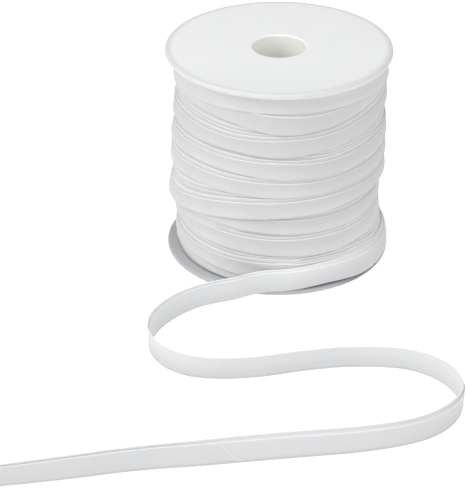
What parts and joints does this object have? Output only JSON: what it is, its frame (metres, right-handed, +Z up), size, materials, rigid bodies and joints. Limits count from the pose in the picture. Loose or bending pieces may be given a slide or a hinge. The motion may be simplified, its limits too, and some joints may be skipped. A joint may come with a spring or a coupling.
{
  "type": "roll of bias tape on a plastic spool",
  "caption": "Roll of white folded bias tape wound in a spiral on a flanged plastic spool, with its loose end standing on the table in an S.",
  "frame": {"origin": "on the spool's axis, at the level of the table, which is the spool's lower face", "axes": "+Z up the spool's axis, -Y the front where the loose end leaves the roll, +X the front's right"},
  "size_m": [0.1909, 0.2447, 0.0975],
  "materials": {
    "spool_plastic": "translucent white moulded polypropylene, faint satin",
    "bias_tape": "white bias-cut cloth, pressed in folds, soft sheen"
  },
  "bodies": {
    "root": {"spool_top_flange": "spool_plastic", "spool_core": "spool_plastic", "spool_bottom_flange": "spool_plastic", "tape_winding": "bias_tape", "tape_loose_end": "bias_tape"}
  },
  "joints": []
}
